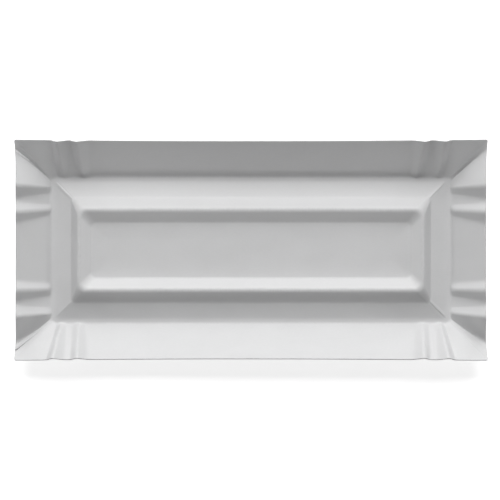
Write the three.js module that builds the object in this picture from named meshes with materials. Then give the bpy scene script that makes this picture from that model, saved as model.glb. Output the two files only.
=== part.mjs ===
import * as THREE from 'three';

// A long shallow food tray pressed from one blank of coated paperboard.
// All sizes are in millimetres. +X runs along the tray, +Y across it and +Z up.
// The origin is on the table, under the middle of the tray.

// Overall size, measured over the four corner tips
const trayLength = 210;
const trayWidth = 98;
const rimHeight = 15;
const boardThickness = 0.45;

// The long rims and the end rims stand in a little between the corner tips
const sideBow = 0.7;
const endBow = 1.0;
const tipRound = 0.8;
const tipDrop = 1.6;

// The wall foot is the fold the tray stands on, with a narrow flat land along it
const footLength = 177;
const footWidth = 63.6;
const footCornerRadius = 2.2;
const landWidth = 0.8;
const footRound = 1.9;
// The wall behind a corner tip is rounder than the foot and the rim, pulled in by this much
const cornerPull = 2;

// A band falls outwards from the rib to the wall foot, which lifts the floor off the table
const bandWidth = 8.6;
const floorLift = 2.1;
const bandFootRound = 1.5;

// The raised rib that frames the floor, wider along the sides than across the ends
const ribRise = 4.1;
const ribOuterFlankSide = 5.35;
const ribOuterFlankEnd = 3.4;
const ribInnerFlankSide = 5.25;
const ribInnerFlankEnd = 4.9;
const ribCrestRound = 1.15;
const ribFootRound = 0.6;
const ribOuterCornerRadius = 1.4;
const ribCrestCornerRadius = 3.6;
const floorCornerRadius = 3;
const floorDish = 0.25;

// Pleats near each corner take up the spare board. Each starts bluntly at the wall foot.
const pleatStart = 2.4;
const pleatBluntness = 0.45;
// The valley fold of a corner meets the end rim short of the tip, farther on the -Y side
const foldFromTipUpper = 6;
const foldFromTipLower = 8.85;
// The fold lies this share of the way down to the plane of the long wall
const foldDepth = 0.85;
const foldRound = 3;
// Half way up, the fold bows towards the tip
const foldBow = 1.2;
// Along the end rim, measured on from the valley fold
const foldToBigRidgeUpper = 14.45;
const foldToBigRidgeLower = 10.65;
const bigRidgeToValley = 5.2;
const valleyWidth = 2.1;
const valleyToSmallRidge = 4.2;
const smallRidgeToPlain = 4.5;
const bigRidgeRise = 3.6;
const valleyRise = 0.35;
const smallRidgeRise = 3;
const endRidgeRound = 1.2;
const endLean = 0.08;
// The same points along the end's wall foot, measured on from the rounded foot corner
const footToBigRidge = 1.6;
const footToValley = 2.4;
const footValleyWidth = 5.2;
const footToSmallRidge = 2.6;
const footToPlain = 2.4;
// Two pleats near each end of a long wall, steep towards the corner and gentle towards the middle
const tipToOuterPleat = 18.1;
const outerPleatToInner = 9.8;
const sidePleatRise = 3;
const sidePleatSteep = 2.8;
const sidePleatGentle = 5;
const sidePleatRound = 0.8;
const sideLean = 0.22;
const footToOuterPleat = 2.4;
const footOuterToInner = 8.4;
// The gentle flank is this much narrower at the foot
const pleatNarrowing = 0.5;

// A straight-sided line through points [position, height] with each bend rounded off.
// The third number of a point is the half width of its rounding.
function softLine(points, at) {
  let k = 0;
  while (k < points.length - 2 && at > points[k + 1][0]) k += 1;
  const slope = (i) => (points[i + 1][1] - points[i][1]) / (points[i + 1][0] - points[i][0]);
  let height = points[k][1] + slope(k) * (at - points[k][0]);
  for (let i = 1; i < points.length - 1; i += 1) {
    const away = Math.abs(at - points[i][0]);
    const round = points[i][2];
    if (away < round) height += (slope(i) - slope(i - 1)) * (round - away) ** 2 / (4 * round);
  }
  return height;
}

// Straight interpolation in a list of [from, to] pairs
function follow(pairs, at) {
  let k = 0;
  while (k < pairs.length - 2 && at > pairs[k + 1][0]) k += 1;
  const share = (at - pairs[k][0]) / (pairs[k + 1][0] - pairs[k][0]);
  return pairs[k][1] + share * (pairs[k + 1][1] - pairs[k][1]);
}

// Sorted positions with near repeats left out
function tidyList(values, gap) {
  const sorted = [...values].sort((p, q) => p - q);
  return sorted.filter((value, i) => i === 0 || value - sorted[i - 1] > gap);
}

// The four framing rectangles, from the floor's edge out to the wall foot.
// Each has half a length, half a width and a corner radius.
const footLine = {
  length: footLength / 2,
  width: footWidth / 2,
  radius: footCornerRadius,
};
const ribOuterLine = {
  length: footLine.length - bandWidth,
  width: footLine.width - bandWidth,
  radius: ribOuterCornerRadius,
};
const ribCrestLine = {
  length: ribOuterLine.length - ribOuterFlankEnd,
  width: ribOuterLine.width - ribOuterFlankSide,
  radius: ribCrestCornerRadius,
};
const floorLine = {
  length: ribCrestLine.length - ribInnerFlankEnd,
  width: ribCrestLine.width - ribInnerFlankSide,
  radius: floorCornerRadius,
};

// The cross-section of the underside, from the floor out to the land of the wall foot
const landInner = footLine.width - landWidth / 2;
const section = [
  [0, floorLift, 1],
  [floorLine.width, floorLift, ribFootRound],
  [ribCrestLine.width, floorLift + ribRise, ribCrestRound],
  [ribOuterLine.width, floorLift, ribFootRound],
  [landInner - bandFootRound / 2, 0, bandFootRound / 2],
  [footLine.width, 0, 1],
];

// The stations run round a quarter of the tray, from the middle of a long side
// to the middle of an end. Each has a place on the wall foot and a point on the rim.
function quarterStations(upper) {
  const halfLength = trayLength / 2;
  const halfWidth = trayWidth / 2;
  const sideFoot = footLine.length - footLine.radius;
  const endFoot = footLine.width - footLine.radius;
  const foldFromTip = upper ? foldFromTipUpper : foldFromTipLower;
  const foldToBigRidge = upper ? foldToBigRidgeUpper : foldToBigRidgeLower;

  // The lift of the long rim, measured from the middle of the side
  const outerPleat = halfLength - tipToOuterPleat;
  const innerPleat = outerPleat - outerPleatToInner;
  const lastSide = outerPleat + sidePleatSteep + sidePleatRound;
  const pleatPoints = (crest) => [
    [crest - sidePleatGentle, 0, sidePleatRound * 2],
    [crest, sidePleatRise, sidePleatRound],
    [crest + sidePleatSteep, 0, sidePleatRound],
  ];
  const sideLift = [[0, 0, 1], ...pleatPoints(innerPleat), ...pleatPoints(outerPleat), [halfLength, 0, 1]];
  const sideFall = [[0, 0, 1], [lastSide, 0, 1], [halfLength, -tipDrop, 1]];
  const outerPleatFoot = sideFoot - footToOuterPleat;
  const innerPleatFoot = outerPleatFoot - footOuterToInner;
  const sideFeet = [
    [0, 0],
    [innerPleat - sidePleatGentle, innerPleatFoot - sidePleatGentle * pleatNarrowing],
    [innerPleat, innerPleatFoot],
    [innerPleat + sidePleatSteep, innerPleatFoot + sidePleatSteep],
    [outerPleat - sidePleatGentle, outerPleatFoot - sidePleatGentle * pleatNarrowing],
    [outerPleat, outerPleatFoot],
    [lastSide, sideFoot],
  ];
  const pleatStops = (crest) => [
    crest - sidePleatGentle,
    crest - sidePleatGentle / 2,
    crest - sidePleatRound,
    crest + sidePleatRound,
    crest + sidePleatSteep,
  ];
  const sideStops = [
    innerPleat / 3,
    innerPleat * 2 / 3,
    ...pleatStops(innerPleat),
    ...pleatStops(outerPleat),
  ];

  // The lift and the fall of the end rim, measured from the tray's long axis
  const fold = halfWidth - foldFromTip;
  const bigRidge = fold - foldToBigRidge;
  const valleyNear = bigRidge - bigRidgeToValley;
  const valleyFar = valleyNear - valleyWidth;
  const smallRidge = valleyFar - valleyToSmallRidge;
  const plain = smallRidge - smallRidgeToPlain;
  const endLift = [
    [0, 0, 1],
    [plain, 0, endRidgeRound],
    [smallRidge, smallRidgeRise, endRidgeRound],
    [valleyFar, valleyRise, endRidgeRound],
    [valleyNear, valleyRise, endRidgeRound],
    [bigRidge, bigRidgeRise, endRidgeRound],
    [fold, 0, endRidgeRound],
    [halfWidth, 0, 1],
  ];
  const foldDrop = foldDepth * rimHeight * foldFromTip / (halfWidth - footLine.width);
  const endFall = [[0, 0, 1], [bigRidge, 0, 0.5], [fold, -foldDrop, foldRound], [halfWidth, -tipDrop, 1]];
  const foldPull = [[0, 0, 1], [bigRidge, 0, 1], [fold, foldBow, 1], [halfWidth, 0, 1]];
  const bigRidgeFoot = endFoot - footToBigRidge;
  const valleyNearFoot = bigRidgeFoot - footToValley;
  const valleyFarFoot = valleyNearFoot - footValleyWidth;
  const smallRidgeFoot = valleyFarFoot - footToSmallRidge;
  const endFeet = [
    [0, 0],
    [plain, smallRidgeFoot - footToPlain],
    [smallRidge, smallRidgeFoot],
    [valleyFar, valleyFarFoot],
    [valleyNear, valleyNearFoot],
    [bigRidge, bigRidgeFoot],
    [fold, endFoot],
  ];
  const endStops = [
    plain / 2,
    plain - endRidgeRound,
    plain + endRidgeRound / 2,
    smallRidge - endRidgeRound,
    smallRidge,
    smallRidge + endRidgeRound,
    valleyFar,
    valleyNear,
    bigRidge - endRidgeRound,
    bigRidge,
    bigRidge + endRidgeRound,
    (bigRidge + fold) / 2,
    fold - foldRound,
  ];

  const sideRim = (x) => {
    const lift = softLine(sideLift, x);
    const y = halfWidth - sideBow * (1 - (x / halfLength) ** 2) - sideLean * lift;
    const rim = new THREE.Vector3(x, y, rimHeight + softLine(sideFall, x));
    return { rim, lift, bow: 0 };
  };
  const endRim = (y) => {
    const lift = softLine(endLift, y);
    const x = halfLength - endBow * (1 - (y / halfWidth) ** 4) - endLean * lift;
    const rim = new THREE.Vector3(x, y, rimHeight + softLine(endFall, y));
    return { rim, lift, bow: softLine(foldPull, y) };
  };

  const stations = [];
  for (const x of tidyList([0, ...sideStops], 0.2)) {
    stations.push({ part: 'side', share: follow(sideFeet, x) / sideFoot, pull: 0, ...sideRim(x) });
  }
  // The corner opens like a fan: the foot's arc is spread over the rim beside the tip
  const fan = [
    [90, sideRim(THREE.MathUtils.lerp(lastSide, halfLength, 1 / 3))],
    [68, sideRim(THREE.MathUtils.lerp(lastSide, halfLength, 2 / 3))],
    [49, sideRim(halfLength - tipRound)],
    [41, endRim(halfWidth - tipRound)],
    [22, endRim(halfWidth - (foldFromTip + tipRound) / 2)],
    [0, endRim(fold)],
  ];
  for (const [degrees, point] of fan) {
    const angle = THREE.MathUtils.degToRad(degrees);
    stations.push({ part: 'corner', angle, pull: cornerPull * Math.sin(2 * angle), ...point });
  }
  for (const y of tidyList([0, ...endStops], 0.2).reverse()) {
    stations.push({ part: 'end', share: follow(endFeet, y) / endFoot, pull: 0, ...endRim(y) });
  }
  return stations;
}

// The plan position of a station on one framing line
function placeOn(line, station) {
  const straightLength = line.length - line.radius;
  const straightWidth = line.width - line.radius;
  if (station.part === 'side') {
    return new THREE.Vector2(straightLength * station.share, line.width);
  }
  if (station.part === 'end') {
    return new THREE.Vector2(line.length, straightWidth * station.share);
  }
  return new THREE.Vector2(
    straightLength + line.radius * Math.cos(station.angle),
    straightWidth + line.radius * Math.sin(station.angle),
  );
}

// A framing line part of the way from one line to the next
function between(inner, outer, share) {
  return {
    length: THREE.MathUtils.lerp(inner.length, outer.length, share),
    width: THREE.MathUtils.lerp(inner.width, outer.width, share),
    radius: THREE.MathUtils.lerp(inner.radius, outer.radius, share),
  };
}

// The rings under the floor, rib and band, each a framing line with its height
const rings = [];
function addRings(inner, outer, widths) {
  const span = outer.width - inner.width;
  for (const width of tidyList(widths, span * 0.02)) {
    const line = between(inner, outer, (width - inner.width) / span);
    rings.push({ ...line, height: softLine(section, width) });
  }
}
const floorEdge = {
  length: floorLine.length - ribFootRound,
  width: floorLine.width - ribFootRound,
  radius: floorLine.radius * 0.8,
};
const floorCentre = {
  length: floorEdge.length - floorEdge.width * 0.6,
  width: floorEdge.width * 0.4,
  radius: floorEdge.radius * 0.4,
};
rings.push({ ...floorCentre, height: floorLift - floorDish });
rings.push({ ...floorEdge, height: floorLift });
addRings(floorLine, ribCrestLine, [
  floorLine.width,
  floorLine.width + Math.min(ribFootRound, ribInnerFlankSide / 3),
  ribCrestLine.width - Math.min(ribCrestRound, ribInnerFlankSide / 2),
  ribCrestLine.width - Math.min(ribCrestRound, ribInnerFlankSide / 2) / 2,
]);
addRings(ribCrestLine, ribOuterLine, [
  ribCrestLine.width,
  ribCrestLine.width + Math.min(ribCrestRound, ribOuterFlankSide / 2) / 2,
  ribCrestLine.width + Math.min(ribCrestRound, ribOuterFlankSide / 2),
  ribOuterLine.width - Math.min(ribFootRound, ribOuterFlankSide / 3),
]);
addRings(ribOuterLine, footLine, [
  ribOuterLine.width,
  ribOuterLine.width + Math.min(ribFootRound, bandWidth / 4),
  landInner - Math.min(bandFootRound, bandWidth / 3),
  landInner - Math.min(bandFootRound, bandWidth / 3) / 2,
  landInner,
]);

// The wall climbs in straight lines from the wall foot to the rim. A share of 0 is the
// foot line, 1 the rim. The climb starts level at the edge of the land.
const wallRun = (trayWidth - footWidth) / 2;
const landShare = landWidth / 2 / wallRun;
const roundShare = footRound / wallRun;
function climb(share) {
  const past = share - landShare;
  if (past <= 0) return 0;
  const full = 1 - landShare - roundShare / 2;
  return past < roundShare ? past ** 2 / (2 * roundShare) / full : (past - roundShare / 2) / full;
}

// How much of a pleat's lift there is: a blunt start near the foot, then an even growth
const pleatShare = pleatStart / wallRun;
function swell(share) {
  const start = THREE.MathUtils.smoothstep(share, landShare, landShare + pleatShare);
  return THREE.MathUtils.lerp(climb(share), start, pleatBluntness);
}
const lowShare = Math.max(roundShare, pleatShare);
const wallShares = [
  landShare,
  landShare + lowShare / 3,
  landShare + lowShare * 2 / 3,
  landShare + lowShare,
  (landShare + lowShare + 1) / 2,
  1,
];

// All stations in order round the tray, seen from above
function around() {
  const list = [];
  const quarters = [
    [1, 1, false],
    [1, -1, true],
    [-1, -1, false],
    [-1, 1, true],
  ];
  for (const [signX, signY, reversed] of quarters) {
    const stations = quarterStations(signY > 0).map((station) => ({ ...station, signX, signY }));
    // The middle of each side and end belongs to two quarters and is kept once
    const kept = reversed ? stations.slice(1) : stations.slice(0, -1);
    list.push(...(reversed ? kept.reverse() : kept));
  }
  return list;
}

// The underside, ring by ring
function undersideRows() {
  const stations = around();
  const rows = rings.map((ring) => stations.map((station) => {
    const place = placeOn(ring, station);
    return new THREE.Vector3(place.x * station.signX, place.y * station.signY, ring.height);
  }));
  for (const share of wallShares) {
    rows.push(stations.map((station) => {
      const foot = placeOn(footLine, station);
      const belly = 4 * share * (1 - share);
      const inwards = station.pull * Math.SQRT1_2 * belly;
      return new THREE.Vector3(
        (THREE.MathUtils.lerp(foot.x, station.rim.x, share) - inwards) * station.signX,
        (THREE.MathUtils.lerp(foot.y, station.rim.y, share) - inwards + station.bow * belly) * station.signY,
        station.rim.z * climb(share) + station.lift * swell(share),
      );
    }));
  }
  return rows;
}

// The inner face lies one board thickness along the sheet's own upward direction
function offsetRows(rows) {
  const count = rows[0].length;
  return rows.map((row, i) => row.map((point, j) => {
    const inner = rows[Math.max(i - 1, 0)][j];
    const outer = rows[Math.min(i + 1, rows.length - 1)][j];
    const before = row[(j + count - 1) % count];
    const after = row[(j + 1) % count];
    const upward = new THREE.Vector3()
      .crossVectors(after.clone().sub(before), outer.clone().sub(inner));
    if (i === 0) upward.set(0, 0, 1);
    upward.normalize();
    return point.clone().addScaledVector(upward, boardThickness);
  }));
}

// Two skins joined at the cut edge of the rim make one closed sheet
function sheetGeometry(lower, upper) {
  const count = lower[0].length;
  const points = [...lower.flat(), ...upper.flat()];
  const upperStart = lower.length * count;
  const faces = [];
  const quad = (a, b, c, d) => {
    const straight = points[a].distanceTo(points[c]);
    const crossed = points[b].distanceTo(points[d]);
    if (straight <= crossed) faces.push([a, b, c], [a, c, d]);
    else faces.push([a, b, d], [b, c, d]);
  };
  for (let i = 0; i < lower.length - 1; i += 1) {
    for (let j = 0; j < count; j += 1) {
      const next = (j + 1) % count;
      const a = i * count + j;
      const b = (i + 1) * count + j;
      const c = (i + 1) * count + next;
      const d = i * count + next;
      quad(a, b, c, d);
      quad(upperStart + a, upperStart + d, upperStart + c, upperStart + b);
    }
  }
  const edge = (lower.length - 1) * count;
  for (let j = 0; j < count; j += 1) {
    const next = (j + 1) % count;
    quad(edge + j, upperStart + edge + j, upperStart + edge + next, edge + next);
  }
  // The flat middle of each skin is a fan round its centre
  const lowerCentre = points.length;
  const upperCentre = lowerCentre + 1;
  points.push(new THREE.Vector3(0, 0, lower[0][0].z), new THREE.Vector3(0, 0, upper[0][0].z));
  for (let j = 0; j < count; j += 1) {
    const next = (j + 1) % count;
    faces.push([lowerCentre, j, next]);
    faces.push([upperCentre, upperStart + next, upperStart + j]);
  }
  const geometry = new THREE.BufferGeometry();
  geometry.setFromPoints(points);
  geometry.setIndex(faces.flat());
  geometry.computeVertexNormals();
  return geometry;
}

const underside = undersideRows();
const inside = offsetRows(underside);
const board = new THREE.MeshStandardMaterial({ color: 0xd9d9da, roughness: 0.6 });
const tray = new THREE.Mesh(sheetGeometry(underside, inside), board);
tray.name = 'tray';

const part = new THREE.Group();
part.add(tray);

export default part;
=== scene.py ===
# %% [markdown]
# # A pressed paperboard food tray
#
# The real tray is one sheet of coated board, pressed hot between two halves of a die. The die gives it a
# framed floor, a raised rib, walls that lean out, and folds near the corners, where the flat sheet has more
# board than the walls need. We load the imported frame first, because the tray made here has to fit its box.
# Lengths are in metres.

import math

import bpy
import numpy as np
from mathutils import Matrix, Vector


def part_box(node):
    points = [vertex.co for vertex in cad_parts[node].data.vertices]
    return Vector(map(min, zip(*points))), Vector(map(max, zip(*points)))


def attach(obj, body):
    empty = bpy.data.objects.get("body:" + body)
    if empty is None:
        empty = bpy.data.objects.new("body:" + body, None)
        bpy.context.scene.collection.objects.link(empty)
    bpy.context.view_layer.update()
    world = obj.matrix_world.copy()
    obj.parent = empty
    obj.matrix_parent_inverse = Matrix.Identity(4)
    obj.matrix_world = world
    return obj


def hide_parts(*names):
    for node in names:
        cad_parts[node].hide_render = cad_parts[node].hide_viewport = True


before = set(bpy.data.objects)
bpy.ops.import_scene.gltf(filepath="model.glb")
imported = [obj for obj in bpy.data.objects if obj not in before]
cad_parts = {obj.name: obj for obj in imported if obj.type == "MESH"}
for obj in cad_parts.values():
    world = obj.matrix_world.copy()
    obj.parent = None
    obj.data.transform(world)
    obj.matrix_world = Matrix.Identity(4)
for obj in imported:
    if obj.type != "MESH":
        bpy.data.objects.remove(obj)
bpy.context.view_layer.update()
low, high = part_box("tray")
mm = 0.001
print("the tray's box in mm:", [round(size / mm, 1) for size in high - low])

# %% [markdown]
# ## The cross-section
#
# From the middle out, the underside of the sheet runs level under the floor, up and over the rib, down a
# band to the wall foot that the tray stands on, and then up the wall. We could drag a profile along a path,
# but the rib is wider along the sides than across the ends. So we use rings instead: rounded rectangles that
# grow from the floor to the wall foot, each with its own height. The heights come from a line with rounded
# bends, as folds in board have.

# %% Sizes of the section
half_length = high.x
half_width = high.y
board = 0.45 * mm
rim_height = 15 * mm

foot = {"length": 88.5 * mm, "width": 31.8 * mm, "radius": 2.2 * mm}
land = 0.8 * mm
band = 8.6 * mm
floor_lift = 2.1 * mm
rib_rise = 4.1 * mm
floor_dish = 0.25 * mm
rib_foot_bend = 0.6 * mm
rib_crest_bend = 1.15 * mm
foot_bend = 0.75 * mm


def frame_inside(outer, end_step, side_step, radius):
    return {"length": outer["length"] - end_step, "width": outer["width"] - side_step, "radius": radius}


rib_outer = frame_inside(foot, band, band, 1.4 * mm)
rib_crest = frame_inside(rib_outer, 3.4 * mm, 5.35 * mm, 3.6 * mm)
floor_edge = frame_inside(rib_crest, 4.9 * mm, 5.25 * mm, 3 * mm)
panel = [round(2 * floor_edge[key] / mm, 1) for key in ("length", "width")]
print("the floor panel in mm:", panel[0], "by", panel[1])


# %% A line with rounded bends
def soft_line(points, at):
    """Heights at the places `at` on a line through points of (place, height, half width of the bend).

    The first and the last point have no bend, so their third number isn't used.
    """
    places, heights, rounds = (np.array(column, float) for column in zip(*points))
    result = np.interp(at, places, heights)
    slopes = np.diff(heights) / np.diff(places)
    for i in range(1, len(points) - 1):
        away = np.abs(at - places[i])
        inside = np.clip(rounds[i] - away, 0, None)
        result = result + (slopes[i] - slopes[i - 1]) * inside**2 / (4 * rounds[i])
    return result


land_inner = foot["width"] - land / 2
section = [
    (0, floor_lift, 0),
    (floor_edge["width"], floor_lift, rib_foot_bend),
    (rib_crest["width"], floor_lift + rib_rise, rib_crest_bend),
    (rib_outer["width"], floor_lift, rib_foot_bend),
    (land_inner - foot_bend, 0, foot_bend),
    (foot["width"], 0, 0),
]
rib_height = soft_line(section, rib_crest["width"]) - floor_lift
print("the rib stands", round(float(rib_height / mm), 2), "mm over the floor")

# %% [markdown]
# ## The rings
#
# A ring between two framing rectangles is a mix of both, so its corner stays on the mitre. Rings lie closer
# together where the section bends, which is where smooth shading needs them.


# %% Rings from the floor to the wall foot
def between(inner, outer, share):
    return {key: inner[key] + (outer[key] - inner[key]) * share for key in inner}


floor_rim = {key: value - rib_foot_bend for key, value in floor_edge.items()}
middle_step = 0.6 * floor_rim["width"]
floor_middle = frame_inside(floor_rim, middle_step, middle_step, 0.16 * mm)
rings = [
    {**floor_middle, "height": floor_lift - floor_dish, "along_band": 0},
    {**floor_rim, "height": floor_lift, "along_band": 0},
]
spans = [
    (floor_edge, rib_crest, [0, 0.05, 0.11, 0.45, 0.78, 0.84, 0.89, 0.95]),
    (rib_crest, rib_outer, [0, 0.05, 0.1, 0.15, 0.2, 0.55, 0.9, 0.95]),
    (rib_outer, foot, [0, 0.04, 0.08, 0.4, 0.7, 0.77, 0.84, 0.9, 0.95]),
]
for inner, outer, shares in spans:
    for share in shares:
        ring = between(inner, outer, share)
        along_band = share if inner is rib_outer else 0
        rings.append({**ring, "height": float(soft_line(section, ring["width"])), "along_band": along_band})
print(len(rings), "rings inside the wall foot")

# %% [markdown]
# ## The rim and its pleats
#
# The flat sheet has more board at a corner than the pressed wall needs, so the spare board is folded down
# in a deep valley and stands up in ridges that widen towards the rim. It is enough to say how high the rim
# stands at each place, and the wall below follows from that. Along an end the order from the corner is: the
# deep fold, a big ridge, a valley, a small ridge, and the plain middle. A long wall has two narrow pleats
# near each corner. No two corners come out of the die quite alike, so each has its own places.

# %% Places of the folds and ridges at each corner
# Along the end rim, in mm from the middle: the fold, the big ridge, the near and far edge of the valley, the
# small ridge and the plain wall. Along the side rim: the outer and the inner pleat. Each also has its place
# on the wall foot. The hip is the height of a small step in the band, from the foot's corner to the rib, and
# its sign says which side of the step is steep.
corners = {
    (-1, 1): {
        "rim": (42.6, 28.6, 23.1, 20.9, 16.9, 12.1),
        "foot": (29.6, 28.0, 25.6, 20.3, 18.0, 15.9),
        "pleats": (86.0, 77.4),
        "pleat_feet": (83.4, 74.6),
        "hip": 0.3,
    },
    (1, 1): {
        "rim": (43.4, 28.5, 22.9, 20.7, 17.0, 11.9),
        "foot": (29.6, 27.7, 25.3, 20.3, 17.9, 15.6),
        "pleats": (86.0, 77.1),
        "pleat_feet": (83.4, 74.0),
        "hip": -0.3,
    },
    (-1, -1): {
        "rim": (40.3, 29.4, 24.5, 22.5, 17.9, 13.9),
        "foot": (29.6, 28.3, 25.8, 20.3, 17.5, 15.0),
        "pleats": (87.8, 77.1),
        "pleat_feet": (84.4, 76.9),
        "hip": 0.14,
    },
    (1, -1): {
        "rim": (40.0, 29.6, 24.7, 22.6, 17.9, 13.9),
        "foot": (29.6, 28.1, 25.7, 20.4, 17.7, 15.0),
        "pleats": (87.6, 76.7),
        "pleat_feet": (84.2, 76.6),
        "hip": 0.3,
    },
}
print(len(corners), "corners, each with its own folds")

# %% Heights and widths of the folds, ridges and pleats at the rim
big_ridge = 3.58 * mm
small_ridge = 3.4 * mm
valley_rise = -0.6 * mm
ridge_bend = 1.2 * mm
fold_depth = 0.9
fold_round = 3 * mm
fold_bow = 1.2 * mm
tip_drop = 1.6 * mm
tip_round = 0.8 * mm
pleat_rise = 3.5 * mm
pleat_steep = 2.5 * mm
pleat_gentle = 5 * mm
pleat_bend = 0.8 * mm
side_bow = 0.7 * mm
end_bow = 1.0 * mm
rises = [round(rise / mm, 2) for rise in (big_ridge, small_ridge, pleat_rise)]
print("before rounding, big ridge, small ridge and pleat rise over the rim by", rises, "mm")


# %% Heights along a long rim
def side_pleats(corner, x):
    """How far the pleats lift a long rim. Each is steep on its outer side and gentle on its inner side."""
    outer, inner = (place * mm for place in corner["pleats"])
    points = [(0, 0, 0)]
    for place in (inner, outer):
        points += [
            (place - pleat_gentle, 0, 2 * pleat_bend),
            (place, pleat_rise, pleat_bend),
            (place + pleat_steep, 0, pleat_bend),
        ]
    return soft_line([*points, (half_length, 0, 0)], x)


def side_fall(corner, x):
    """How far a long rim falls from its outer pleat to the tip."""
    outer = corner["pleats"][0] * mm + pleat_steep
    return soft_line([(0, 0, 0), (outer, 0, 1 * mm), (half_length, -tip_drop, 0)], x)


def side_warp(x):
    """The long walls lie a little lower towards the left end, as thin board does once it has relaxed."""
    places = [-105, -87, -44, -8, 44, 66, 105]
    heights = [-1.0, -1.3, -1.1, 0, 0.2, 0, -0.1]
    return np.interp(x, np.array(places) * mm, np.array(heights) * mm)


pleat_places = np.linspace(0, half_length, 2000)
highest = side_pleats(corners[1, 1], pleat_places).max()
print("with its crest rounded a pleat stands", round(float(highest / mm), 2), "mm over the rim")


# %% Heights along an end rim
def end_ridges(corner, y):
    """How far the ridges lift an end rim."""
    fold, big, near, far, small, plain = (place * mm for place in corner["rim"])
    points = [
        (0, 0, 0),
        (plain, 0, ridge_bend),
        (small, small_ridge, ridge_bend),
        (far, valley_rise, ridge_bend),
        (near, valley_rise, ridge_bend),
        (big, big_ridge, ridge_bend),
        (fold, 0, ridge_bend),
        (half_width, 0, 0),
    ]
    return soft_line(points, y)


def end_fall(corner, y):
    """How far the corner fold lowers an end rim."""
    fold, big = (place * mm for place in corner["rim"][:2])
    fold_drop = fold_depth * rim_height * (half_width - fold) / (half_width - foot["width"])
    points = [(0, 0, 0), (big, 0, 0.5 * mm), (fold, -fold_drop, fold_round), (half_width, -tip_drop, 0)]
    return soft_line(points, y)


def end_bow_at(corner, y):
    """Half way up, the fold bows towards the tip."""
    fold, big = (place * mm for place in corner["rim"][:2])
    return soft_line([(0, 0, 0), (big, 0, 1 * mm), (fold, fold_bow, 1 * mm), (half_width, 0, 0)], y)


fold_places = np.linspace(0, half_width, 2000)
deepest = end_fall(corners[1, 1], fold_places).min()
print("a corner fold drops", round(float(-deepest / mm), 2), "mm below the rim")

# %% [markdown]
# ## Stations round the tray
#
# A station is one line from the floor out to the rim. Near a fold the stations stand a few tenths of a
# millimetre apart, and on the plain walls a few millimetres, so the mesh is fine only where the board bends.
# Each station knows its place on a framing rectangle and its point on the rim.


# %% Points on the rim
# A pleat or a ridge leans in over the tray by this share of its lift
side_lean = 0.22
end_lean = 0.08


def side_rim(corner, x):
    """Rim points of a long wall as x, y, the height without pleats, the pleats' lift and the bow."""
    lift = side_pleats(corner, x)
    y = half_width - side_bow * (1 - (x / half_length) ** 2) - side_lean * lift
    return np.stack([x, y, rim_height + side_fall(corner, x), lift, np.zeros_like(x)], axis=-1)


def end_rim(corner, y):
    """Rim points of an end wall, with the same five columns."""
    lift = end_ridges(corner, y)
    x = half_length - end_bow * (1 - (y / half_width) ** 4) - end_lean * lift
    return np.stack([x, y, rim_height + end_fall(corner, y), lift, end_bow_at(corner, y)], axis=-1)


middle_of_side = side_rim(corners[1, 1], np.array([0.0]))[0]
print("the rim at the middle of a side is", round(float(middle_of_side[2] / mm), 1), "mm high")


# %% Stations of a long wall
def spread(*runs):
    """Places in several runs of (start, end, count), joined without repeating the shared ends."""
    parts = [np.linspace(start, end, count, endpoint=False) for start, end, count in runs]
    return np.concatenate([*parts, [runs[-1][1]]])


def last_side_place(corner):
    """The place on the rim, just past the outer pleat, from which the stations fan out round the tip."""
    return corner["pleats"][0] * mm + pleat_steep + 0.6 * mm


# At the wall foot the gentle side of a pleat is narrower than at the rim
inner_foot_gentle = 2.8 * mm
outer_foot_gentle = 2.2 * mm


def side_stations(corner):
    """Stations from the middle of a long wall to just past its outer pleat."""
    outer, inner = (place * mm for place in corner["pleats"])
    outer_foot, inner_foot = (place * mm for place in corner["pleat_feet"])
    side_foot = foot["length"] - foot["radius"]
    pleats_start = inner - 7 * mm
    between_pleats = inner + 3 * mm
    last = last_side_place(corner)
    x = spread((0, pleats_start, 24), (pleats_start, between_pleats, 26), (between_pleats, last, 30))
    side_feet = [
        (0, 0),
        (inner - pleat_gentle, inner_foot - inner_foot_gentle),
        (inner, inner_foot),
        (inner + pleat_steep, inner_foot + pleat_steep),
        (outer - pleat_gentle, outer_foot - outer_foot_gentle),
        (outer, outer_foot),
        (last, side_foot - 0.1 * mm),
    ]
    share = np.interp(x, *zip(*side_feet)) / side_foot
    ones = np.ones_like(x)
    return {"share_x": share, "share_y": ones, "angle": 90 * ones, "rim": side_rim(corner, x)}


print(len(side_stations(corners[1, 1])["angle"]), "stations on half a long wall")


# %% Stations round a corner tip
# Degrees round the foot's corner at which the stations meet the two ends of the rounded tip
tip_from, tip_to = 49, 41


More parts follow.
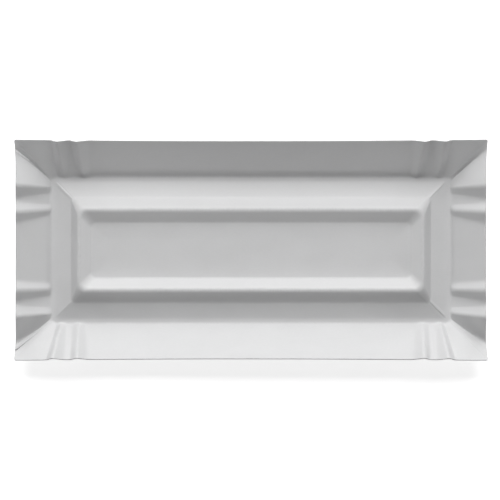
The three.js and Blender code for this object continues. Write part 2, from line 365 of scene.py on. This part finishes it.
def fan_stations(corner):
    """Stations from the long wall round the tip to the corner fold."""
    last = last_side_place(corner)
    fan_x = spread((last + 0.3 * mm, half_length - tip_round, 26))
    turn = np.radians(spread((0, 90, 6))[1:-1])
    fold = corner["rim"][0] * mm
    near_fold = fold + 2.4 * mm
    fan_y = spread((half_width - tip_round, near_fold, 12), (near_fold, fold, 14))
    side_end = side_rim(corner, np.array([half_length - tip_round]))[0]
    end_start = end_rim(corner, np.array([half_width - tip_round]))[0]
    tip = np.stack([
        side_end[0] + (end_start[0] - side_end[0]) * np.sin(turn),
        end_start[1] + (side_end[1] - end_start[1]) * np.cos(turn),
        side_end[2] + (end_start[2] - side_end[2]) * turn / (math.pi / 2),
        np.zeros_like(turn),
        np.zeros_like(turn),
    ], axis=-1)
    angle = np.concatenate([
        np.interp(fan_x, [last, (last + half_length) / 2, half_length - tip_round], [90, 68, tip_from]),
        tip_from - (tip_from - tip_to) * np.degrees(turn) / 90,
        np.interp(-fan_y, [tip_round - half_width, -(half_width + fold) / 2, -fold], [tip_to, 22, 0]),
    ])
    rim = np.concatenate([side_rim(corner, fan_x), tip, end_rim(corner, fan_y)])
    ones = np.ones_like(angle)
    return {"share_x": ones, "share_y": ones, "angle": angle, "rim": rim}


print(len(fan_stations(corners[1, 1])["angle"]), "stations round a tip")


# %% Stations of an end wall
def end_stations(corner):
    """Stations from the corner fold to the middle of an end wall."""
    fold, big, near, far, small, plain = (place * mm for place in corner["rim"])
    end_foot = foot["width"] - foot["radius"]
    valley_middle = (near + far) / 2
    y = spread(
        (fold - 0.12 * mm, big + 1.5 * mm, 24),
        (big + 1.5 * mm, valley_middle, 24),
        (valley_middle, plain - 1.5 * mm, 34),
        (plain - 1.5 * mm, 0, 7),
    )
    end_rims = [0, *(place * mm for place in reversed(corner["rim"]))]
    end_feet = [0, *(place * mm for place in reversed(corner["foot"]))]
    share = np.interp(y, end_rims, end_feet) / end_foot
    ones = np.ones_like(y)
    return {"share_x": ones, "share_y": share, "angle": 0 * ones, "rim": end_rim(corner, y)}


print(len(end_stations(corners[1, 1])["angle"]), "stations on half an end wall")


# %% Join the quarters into one loop of stations
hip_angle = 46


def hip_step(size, angle):
    """A small step pressed along the hip of the band: gentle on one side, steep on the other."""
    past = (angle - hip_angle) * np.sign(size)
    return abs(size) * mm * np.interp(past, [-38, -6, 6], [0, 1, 0])


def quarter(corner):
    """Stations from the middle of a long wall to the middle of an end wall."""
    walls = [side_stations(corner), fan_stations(corner), end_stations(corner)]
    return {key: np.concatenate([wall[key] for wall in walls]) for key in walls[0]}


def loop_of_stations():
    """All four quarters in one loop, without repeating the stations that they share."""
    parts = []
    for sign_x, sign_y, backwards in [(1, 1, False), (1, -1, True), (-1, -1, False), (-1, 1, True)]:
        stations = quarter(corners[sign_x, sign_y])
        count = len(stations["angle"])
        order = np.arange(count)[::-1][:-1] if backwards else np.arange(count)[:-1]
        picked = {key: value[order] for key, value in stations.items()}
        picked["rim"] = picked["rim"] * [sign_x, sign_y, 1, 1, sign_y]
        picked["sign"] = np.tile([sign_x, sign_y], (len(order), 1)).astype(float)
        picked["hip"] = hip_step(corners[sign_x, sign_y]["hip"], picked["angle"])
        parts.append(picked)
    return {key: np.concatenate([part[key] for part in parts]) for key in parts[0]}


stations = loop_of_stations()
station_count = len(stations["angle"])
on_side = np.abs(stations["rim"][:, 1]) > 0.9 * half_width
stations["rim"][:, 2] += np.where(on_side, side_warp(stations["rim"][:, 0]), 0)
print(station_count, "stations round the tray")

# %% [markdown]
# ## The underside of the sheet
#
# Inside the wall foot each ring gives a row of points. From the foot out, a row is a share of the way to the
# rim, and its height climbs along a curve that starts level at the land the tray stands on. The ridges and
# pleats start bluntly at the foot, as the die's ribs do, and grow evenly to the rim.


# %% How a wall climbs from the foot to the rim
def place_on(line, stations):
    """The point of a framing rectangle at every station."""
    turn = np.radians(stations["angle"])
    x = (line["length"] - line["radius"]) * stations["share_x"] + line["radius"] * np.cos(turn)
    y = (line["width"] - line["radius"]) * stations["share_y"] + line["radius"] * np.sin(turn)
    return np.stack([x, y], axis=-1) * stations["sign"]


wall_run = half_width - foot["width"]
land_share = land / 2 / wall_run
foot_round = 1.9 * mm
round_share = foot_round / wall_run
# A pleat has this share of its lift soon after the foot, within blunt_run of the way to the rim
blunt_share = 0.45
blunt_run = 0.14


def climb(share):
    """How much of its height a wall has at a share of the way to the rim."""
    past = np.clip(share - land_share, 0, None)
    full = 1 - land_share - round_share / 2
    return np.where(past < round_share, past**2 / (2 * round_share), past - round_share / 2) / full


def swell(share):
    """How much of a pleat's lift there is: it starts bluntly at the foot and grows evenly to the rim."""
    start = np.clip((share - land_share) / blunt_run, 0, 1)
    return blunt_share * start * start * (3 - 2 * start) + (1 - blunt_share) * climb(share)


half_way = [round(float(share_of(0.5)), 2) for share_of in (climb, swell)]
print("half way out, a wall has", half_way[0], "of its height and a pleat", half_way[1], "of its lift")

# %% Rows of points, from the floor out to the rim
wall_shares = np.concatenate([
    land_share + round_share * np.linspace(0, 1, 7),
    np.linspace(land_share + round_share, 1, 15)[1:],
])
# Behind a corner tip the wall is rounder than the foot and the rim: it is pulled in along the diagonal
corner_pull = 2 * mm * np.sin(2 * np.radians(stations["angle"]))
# The step on the hip runs along this share of the band
hip_reach = 0.85
rows = []
for ring in rings:
    plan = place_on(ring, stations)
    hip = stations["hip"] * math.sin(math.pi * min(ring["along_band"] / hip_reach, 1)) ** 0.5
    rows.append(np.column_stack([plan, ring["height"] + hip]))
foot_plan = place_on(foot, stations)
for share in wall_shares:
    plan = foot_plan + (stations["rim"][:, :2] - foot_plan) * share
    belly = 4 * share * (1 - share)
    plan = plan - (corner_pull * belly)[:, None] * stations["sign"] / math.sqrt(2)
    plan[:, 1] += stations["rim"][:, 4] * belly
    height = stations["rim"][:, 2] * climb(share) + stations["rim"][:, 3] * swell(share)
    rows.append(np.column_stack([plan, height]))
under = np.array(rows)
print("underside grid:", under.shape[0], "rows of", under.shape[1])

# %% [markdown]
# ## Two skins and a cut edge
#
# Board has a thickness, and the cut edge of the rim shows it. We find the direction straight out of the
# sheet at every point and set the inner skin one board thickness along it. A Solidify modifier would do the
# same, but with the grid at hand the three finishes are set in the same step: inner face, back and cut edge.


# %% Directions out of the sheet
def outward(grid):
    """The direction straight out of the sheet's inner face at every point of the grid."""
    across = np.gradient(grid, axis=0)
    around = np.roll(grid, -1, axis=1) - np.roll(grid, 1, axis=1)
    direction = np.cross(around, across)
    direction[0] = [0, 0, 1]
    return direction / np.linalg.norm(direction, axis=-1, keepdims=True)


up = outward(under)
over = under + board * up
print("the sheet is", round(board / mm, 2), "mm thick")


# %% How sharply the board is bent at each point
# Radians in a millimetre that make a fold sharp, and the least step in mm that a turn is measured over
sharp_turn = 0.5
shortest_step = 0.15


def bend(normals, grid):
    """The turn of the sheet's direction for each millimetre, as a share of a sharp fold."""
    most = np.zeros(grid.shape[:2])
    for axis in (0, 1):
        turn = np.linalg.norm(np.roll(normals, -1, axis) - np.roll(normals, 1, axis), axis=-1)
        step = np.linalg.norm(np.roll(grid, -1, axis) - np.roll(grid, 1, axis), axis=-1)
        if axis == 0:
            turn[0] = turn[-1] = 0
        most = np.maximum(most, turn / np.maximum(step / mm, shortest_step))
    return np.clip(most / sharp_turn, 0, 1)


bent = bend(up, under)
for _ in range(3):
    bent = (bent + np.roll(bent, 1, 1) + np.roll(bent, -1, 1)) / 3
print("share of the grid's points where the board is clearly bent:", round(float((bent > 0.3).mean()), 2))


# %% Faces of the two skins and the cut edge
def sheet_faces(row_count, column_count):
    """Faces of both skins, the cut edge and the middle of the floor, each with its finish.

    Finish 0 is the coated inner face, 1 the bare back and 2 the cut edge.
    """
    corner = np.arange((row_count - 1) * column_count).reshape(row_count - 1, column_count)
    after = np.roll(corner, -1, axis=1)
    lower = np.stack([corner, corner + column_count, after + column_count, after], axis=-1).reshape(-1, 4)
    upper = lower[:, ::-1] + row_count * column_count
    edge = np.arange((row_count - 1) * column_count, row_count * column_count)
    next_edge = np.roll(edge, -1)
    top = row_count * column_count
    cut = np.stack([edge, edge + top, next_edge + top, next_edge], axis=-1)
    floor_below = list(range(column_count))
    floor_above = [top + i for i in reversed(floor_below)]
    faces = [*upper.tolist(), *lower.tolist(), *cut.tolist(), floor_above, floor_below]
    finish = [0] * len(upper) + [1] * len(lower) + [2] * len(cut) + [0, 1]
    return faces, finish


faces, finish = sheet_faces(*under.shape[:2])
print(len(faces), "faces")


# %% Build the tray's mesh
def make_tray():
    points = np.concatenate([under.reshape(-1, 3), over.reshape(-1, 3)])
    mesh = bpy.data.meshes.new("pressed_tray")
    mesh.from_pydata(points.tolist(), [], faces)
    mesh.polygons.foreach_set("material_index", finish)
    mesh.shade_smooth()
    mesh.set_sharp_from_angle(angle=math.radians(60))
    bent_at = mesh.attributes.new("bent", "FLOAT", "POINT")
    bent_at.data.foreach_set("value", np.tile(bent.ravel(), 2))
    tray = bpy.data.objects.new("pressed_tray", mesh)
    bpy.context.scene.collection.objects.link(tray)
    return tray


tray = make_tray()
print("the tray's size in mm:", [round(size / mm, 1) for size in tray.dimensions])
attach(tray, "root")
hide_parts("tray")

# %% [markdown]
# ## The board's finish
#
# The inner face has a thin clay coating with a soft, wide sheen. The back is bare and rougher, and the cut
# edge shows the grey core. On all three, long fibres lie mostly along the sheet's grain. Where the board is
# bent hard the coating wrinkles and cracks, so the wrinkles are strongest where we measured a sharp bend.


# %% One recipe for three board surfaces
def board_material(name, tone, roughness, fibre_depth, wrinkle_depth):
    material = bpy.data.materials.new(name)
    material.use_nodes = True
    nodes, links = material.node_tree.nodes, material.node_tree.links
    shader = nodes["Principled BSDF"]
    place = nodes.new("ShaderNodeTexCoord")

    def noise(scale, detail, stretch):
        squeeze = nodes.new("ShaderNodeMapping")
        squeeze.inputs["Scale"].default_value = stretch
        pattern = nodes.new("ShaderNodeTexNoise")
        pattern.inputs["Scale"].default_value = scale
        pattern.inputs["Detail"].default_value = detail
        links.new(place.outputs["Object"], squeeze.inputs["Vector"])
        links.new(squeeze.outputs["Vector"], pattern.inputs["Vector"])
        return pattern.outputs["Fac"]

    def map_range(value, low_from, high_from, low_to, high_to):
        ramp = nodes.new("ShaderNodeMapRange")
        sockets = ["From Min", "From Max", "To Min", "To Max"]
        for key, number in zip(sockets, [low_from, high_from, low_to, high_to]):
            ramp.inputs[key].default_value = number
        links.new(value, ramp.inputs["Value"])
        return ramp.outputs["Result"]

    def combine(operation, first, second):
        node = nodes.new("ShaderNodeMath")
        node.operation = operation
        for socket, value in zip(node.inputs, [first, second]):
            if isinstance(value, (int, float)):
                socket.default_value = value
            else:
                links.new(value, socket)
        return node.outputs["Value"]

    fibres = noise(2600, 5, (0.3, 1, 1))
    clouds = noise(70, 3, (1, 1.6, 1))
    wrinkles = noise(1500, 3, (1, 0.35, 1))
    bent_here = nodes.new("ShaderNodeAttribute")
    bent_here.attribute_name = "bent"
    strained = combine("MULTIPLY", bent_here.outputs["Fac"], wrinkles)

    fine = map_range(fibres, 0.3, 0.7, 0.985, 1.015)
    broad = map_range(clouds, 0.3, 0.7, 0.985, 1.015)
    cracks = map_range(strained, 0.35, 0.75, 1, 0.93)
    level = combine("MULTIPLY", combine("MULTIPLY", fine, broad), combine("MULTIPLY", cracks, tone))
    colour = nodes.new("ShaderNodeCombineColor")
    for channel, share in zip(["Red", "Green", "Blue"], [0.995, 0.997, 1.003]):
        links.new(combine("MULTIPLY", level, share), colour.inputs[channel])
    links.new(colour.outputs["Color"], shader.inputs["Base Color"])
    links.new(map_range(clouds, 0.3, 0.7, roughness - 0.04, roughness + 0.05), shader.inputs["Roughness"])

    fibre_relief = combine("MULTIPLY", fibres, fibre_depth)
    relief = combine("ADD", fibre_relief, combine("MULTIPLY", strained, wrinkle_depth))
    bump = nodes.new("ShaderNodeBump")
    bump.inputs["Strength"].default_value = 1
    bump.inputs["Distance"].default_value = mm
    links.new(relief, bump.inputs["Height"])
    links.new(bump.outputs["Normal"], shader.inputs["Normal"])
    return material


# In the order of the finishes: tone, roughness, and the depth of fibres and wrinkles in millimetres
tray.data.materials.append(board_material("coated_face", 0.63, 0.5, 0.004, 0.06))
tray.data.materials.append(board_material("bare_back", 0.6, 0.8, 0.01, 0.05))
tray.data.materials.append(board_material("cut_edge", 0.5, 0.9, 0.02, 0))
print("finishes:", [material.name for material in tray.data.materials])

# %% [markdown]
# ## Floor and backdrop
#
# A pale tray on white needs its shadow to show where it stands. So the floor is a plain pale sheet that
# keeps the shadow, and a glow that only the camera sees lifts the sheet to white. A floor that simply shone
# would also light the walls from below. The backdrop is white to the camera in the same way and lights
# nothing.


# %% A white floor that keeps the shadow
def white_floor():
    mesh = bpy.data.meshes.new("floor")
    reach = 3.0
    outline = [(-reach, -reach, 0), (reach, -reach, 0), (reach, reach, 0), (-reach, reach, 0)]
    mesh.from_pydata(outline, [], [(0, 1, 2, 3)])
    floor = bpy.data.objects.new("floor", mesh)
    bpy.context.scene.collection.objects.link(floor)
    floor.location.z = -0.05 * mm
    material = bpy.data.materials.new("white_paper_floor")
    material.use_nodes = True
    nodes, links = material.node_tree.nodes, material.node_tree.links
    shader = nodes["Principled BSDF"]
    shader.inputs["Base Color"].default_value = (0.8, 0.8, 0.8, 1)
    shader.inputs["Roughness"].default_value = 0.9
    seen = nodes.new("ShaderNodeLightPath")
    lift = nodes.new("ShaderNodeMath")
    lift.operation = "MULTIPLY"
    lift.inputs[1].default_value = 0.72
    links.new(seen.outputs["Is Camera Ray"], lift.inputs[0])
    shader.inputs["Emission Color"].default_value = (1, 1, 1, 1)
    links.new(lift.outputs["Value"], shader.inputs["Emission Strength"])
    mesh.materials.append(material)
    return floor


floor = white_floor()
print("the floor lies", round(-floor.location.z / mm, 2), "mm under the tray")


# %% A white backdrop that lights nothing
def white_backdrop():
    world = bpy.data.worlds.new("studio")
    world.use_nodes = True
    bpy.context.scene.world = world
    nodes, links = world.node_tree.nodes, world.node_tree.links
    back = nodes["Background"]
    seen = nodes.new("ShaderNodeLightPath")
    back.inputs["Color"].default_value = (1, 1, 1, 1)
    links.new(seen.outputs["Is Camera Ray"], back.inputs["Strength"])


white_backdrop()
print("the backdrop is", bpy.context.scene.world.name)

# %% [markdown]
# ## Six soft lamps
#
# The slopes that face the far side are bright and those that face the near side are grey, so most of the
# light comes from the far side. Three softboxes stand there, one over the other, and light the tray as one
# tall window would. A weaker one at the near side keeps the slopes that face it from going dark, and a small
# one at each end does the same for the end walls. We rendered each lamp alone first, and then chose the
# powers so that the greys of the floor, the band, the rib and the walls come out right together.


# %% Softboxes
lamp_distance = 1.6


def soft_light(name, direction, elevation, size, power):
    """A softbox that faces the tray. Direction 0 is the right end, 90 the far side."""
    lamp = bpy.data.lights.new(name, "AREA")
    lamp.shape = "RECTANGLE"
    lamp.size, lamp.size_y = size
    lamp.energy = power
    holder = bpy.data.objects.new(name, lamp)
    bpy.context.scene.collection.objects.link(holder)
    turn, rise = math.radians(direction), math.radians(elevation)
    aim = np.array([math.cos(turn) * math.cos(rise), math.sin(turn) * math.cos(rise), math.sin(rise)])
    holder.location = lamp_distance * aim
    holder.rotation_euler = holder.location.to_track_quat("Z", "Y").to_euler()
    return holder


# Name, direction and elevation in degrees, size in metres, and power in watts
lamps = [
    soft_light("far_low", 90, 12, (1.6, 0.5), 6.3),
    soft_light("far_middle", 90, 35, (1.6, 0.5), 13.2),
    soft_light("far_high", 90, 55, (1.6, 0.5), 15.7),
    soft_light("near_low", 270, 15, (1.6, 0.4), 6.2),
    soft_light("right_low", 0, 18, (0.8, 0.3), 3.4),
    soft_light("left_low", 180, 18, (0.8, 0.3), 3.4),
]
print("lamps:", [lamp.name for lamp in lamps])

# %% [markdown]
# ## Camera
#
# The camera looks straight down. Its lens is worked out from how wide the tray is in the picture, so the
# tray comes out at that width from any height. We stand well back, because from near by the rim would look
# larger against the foot than it is.

# %% Camera straight above
scene = bpy.context.scene
scene.view_settings.view_transform = "Standard"
picture_width_px = 500
tray_width_px = 474.3
camera_height = 1.4
camera_data = bpy.data.cameras.new("camera")
camera = bpy.data.objects.new("camera", camera_data)
scene.collection.objects.link(camera)
rim_distance = camera_height - (rim_height - tip_drop)
camera_data.sensor_width = 36
picture_share = tray_width_px / picture_width_px
camera_data.lens = camera_data.sensor_width * picture_share * rim_distance / (2 * half_length)
off_centre = -0.4 * mm
camera.location = (off_centre, 0, camera_height)
camera_data.clip_start, camera_data.clip_end = 0.05, 20
scene.camera = camera
print("lens", round(camera_data.lens, 1), "mm")
